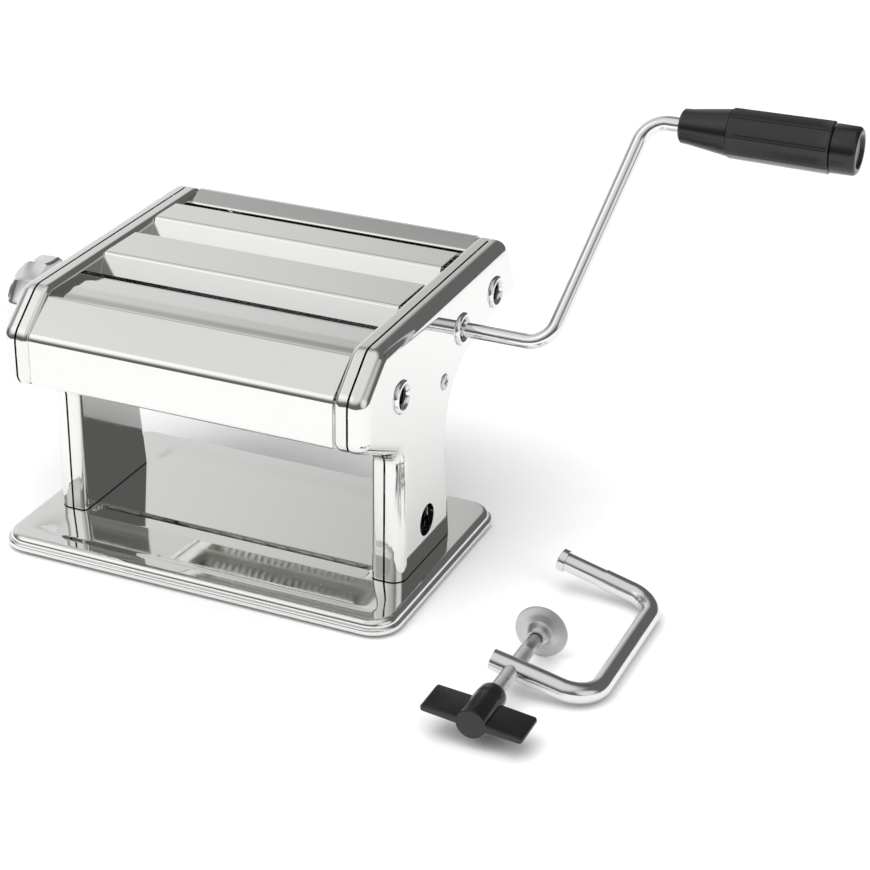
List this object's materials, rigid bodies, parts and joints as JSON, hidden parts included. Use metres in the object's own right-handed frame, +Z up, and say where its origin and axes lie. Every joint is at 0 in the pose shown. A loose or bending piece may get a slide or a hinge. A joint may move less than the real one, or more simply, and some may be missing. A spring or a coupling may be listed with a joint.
{
  "type": "pasta machine",
  "caption": "Hand cranked table pasta machine with sheet rollers, a thickness knob, wide and narrow strip cutters, a lift-out crank and a separate screw clamp",
  "frame": {"origin": "middle of the machine's footprint on the table: centred between the two side frames and under the tray, at the bottom of the rubber pads", "axes": "+X along the rollers towards the crank side, -Y the front, +Z up"},
  "size_m": [0.3855, 0.2336, 0.2129],
  "materials": {
    "polished_steel": "mirror polished sheet steel",
    "frame_steel": "bright sheet steel",
    "roller_steel": "ground steel",
    "gear_steel": "plain cut steel, greased",
    "chrome": "bright chrome plating",
    "screw_steel": "zinc plated steel",
    "bush_plastic": "natural nylon",
    "comb_plastic": "natural nylon",
    "black_plastic": "black moulded plastic",
    "rubber": "black rubber"
  },
  "bodies": {
    "frame": {"base_tray": "polished_steel", "base_pads": "rubber", "base_screws": "screw_steel", "inner_frame_right": "frame_steel", "inner_frame_left": "frame_steel", "outer_cover_right": "polished_steel", "outer_cover_left": "polished_steel", "foot_plate_right": "frame_steel", "foot_plate_left": "frame_steel", "front_cover": "polished_steel", "rear_cover": "polished_steel", "front_guide": "polished_steel", "front_divider": "polished_steel", "rear_divider": "polished_steel", "tie_rods": "frame_steel", "tie_rod_screws": "screw_steel", "cover_posts_right": "frame_steel", "cover_posts_left": "frame_steel", "bearing_bushes_right": "bush_plastic", "bearing_bushes_left": "bush_plastic", "crank_hole_rings": "chrome", "clamp_socket": "chrome", "sheet_scraper_fixed": "frame_steel", "sheet_scraper_moving": "frame_steel", "front_comb_drive": "comb_plastic", "front_comb_mate": "comb_plastic", "rear_comb_drive": "comb_plastic", "rear_comb_mate": "comb_plastic", "knob_index_plate": "screw_steel"},
    "crank": {"crank_rod": "chrome", "crank_pin": "chrome"},
    "crank_grip": {"grip": "black_plastic", "grip_cap": "black_plastic"},
    "sheet_fixed": {"sheet_roller_fixed": "roller_steel", "sheet_gear_fixed": "gear_steel"},
    "adjuster": {"adjuster_shaft": "roller_steel", "adjuster_end_screw": "screw_steel", "adjuster_nut": "screw_steel", "knob_spring": "screw_steel"},
    "thickness_knob": {"knob": "chrome", "knob_cap": "chrome", "knob_pin": "screw_steel"},
    "sleeve": {"eccentric_sleeve": "roller_steel"},
    "sheet_adjustable": {"sheet_roller_adjustable": "roller_steel", "sheet_gear_adjustable": "gear_steel"},
    "front_drive": {"front_cutter_drive": "roller_steel", "front_gear_drive": "gear_steel"},
    "front_mate": {"front_cutter_mate": "roller_steel", "front_gear_mate": "gear_steel"},
    "rear_drive": {"rear_cutter_drive": "roller_steel", "rear_gear_drive": "gear_steel"},
    "rear_mate": {"rear_cutter_mate": "roller_steel", "rear_gear_mate": "gear_steel"},
    "clamp": {"clamp_bar": "chrome"},
    "clamp_pad_body": {"clamp_pad": "polished_steel"},
    "clamp_screw_body": {"clamp_screw": "screw_steel", "wing_knob": "black_plastic"}
  },
  "joints": [
    {"name": "crank_turn", "type": "hinge", "parent": "frame", "child": "crank", "pos_m": [0.1, 0.0385, 0.109], "axis": [1, 0, 0], "range_deg": [-118, 170]},
    {"name": "grip_spin", "type": "hinge", "parent": "crank", "child": "crank_grip", "pos_m": [0.21, 0.09707, 0.20093], "axis": [1, 0, 0], "continuous": true},
    {"name": "sheet_fixed_turn", "type": "hinge", "parent": "frame", "child": "sheet_fixed", "pos_m": [0, 0.0385, 0.109], "axis": [1, 0, 0], "continuous": true},
    {"name": "adjuster_turn", "type": "hinge", "parent": "frame", "child": "adjuster", "pos_m": [0, 0.0185, 0.0906], "axis": [1, 0, 0], "range_deg": [0, 180]},
    {"name": "knob_pull", "type": "slide", "parent": "adjuster", "child": "thickness_knob", "axis": [-1, 0, 0], "range_m": [0, 0.004], "stiffness_N_per_m": 900, "springref_m": -0.004, "deforming": ["knob_spring"]},
    {"name": "sleeve_turn", "type": "hinge", "parent": "adjuster", "child": "sleeve", "pos_m": [0, 0.01751, 0.08969], "axis": [1, 0, 0], "range_deg": [-180, 0]},
    {"name": "sheet_adjustable_turn", "type": "hinge", "parent": "sleeve", "child": "sheet_adjustable", "pos_m": [0, 0.01751, 0.08969], "axis": [1, 0, 0], "continuous": true},
    {"name": "front_drive_turn", "type": "hinge", "parent": "frame", "child": "front_drive", "pos_m": [0, -0.0285, 0.1032], "axis": [1, 0, 0], "continuous": true},
    {"name": "front_mate_turn", "type": "hinge", "parent": "frame", "child": "front_mate", "pos_m": [0, -0.00629, 0.1074], "axis": [1, 0, 0], "continuous": true},
    {"name": "rear_drive_turn", "type": "hinge", "parent": "frame", "child": "rear_drive", "pos_m": [0, 0.0782, 0.1124], "axis": [1, 0, 0], "continuous": true},
    {"name": "rear_mate_turn", "type": "hinge", "parent": "frame", "child": "rear_mate", "pos_m": [0, 0.0942, 0.1124], "axis": [1, 0, 0], "continuous": true},
    {"name": "clamp_lift", "type": "slide", "parent": "frame", "child": "clamp", "axis": [0, 0, 1], "range_m": [0, 0.12]},
    {"name": "clamp_pad_travel", "type": "slide", "parent": "clamp", "child": "clamp_pad_body", "axis": [0, 1, 0], "range_m": [-0.01875, 0.01562]},
    {"name": "clamp_screw_turn", "type": "hinge", "parent": "clamp_pad_body", "child": "clamp_screw_body", "pos_m": [0.1659, -0.1, 0.01222], "axis": [0, 1, 0], "range_deg": [-5410, 4510]}
  ],
  "couplings": [
    {"joint": "sheet_fixed_turn", "follows": "crank_turn", "ratio": 1},
    {"joint": "sheet_adjustable_turn", "follows": "crank_turn", "ratio": -1},
    {"joint": "sleeve_turn", "follows": "adjuster_turn", "ratio": -1},
    {"joint": "front_mate_turn", "follows": "front_drive_turn", "ratio": -1},
    {"joint": "rear_mate_turn", "follows": "rear_drive_turn", "ratio": -1},
    {"joint": "clamp_screw_turn", "follows": "clamp_pad_travel", "rad_per_m": 5026.5}
  ]
}
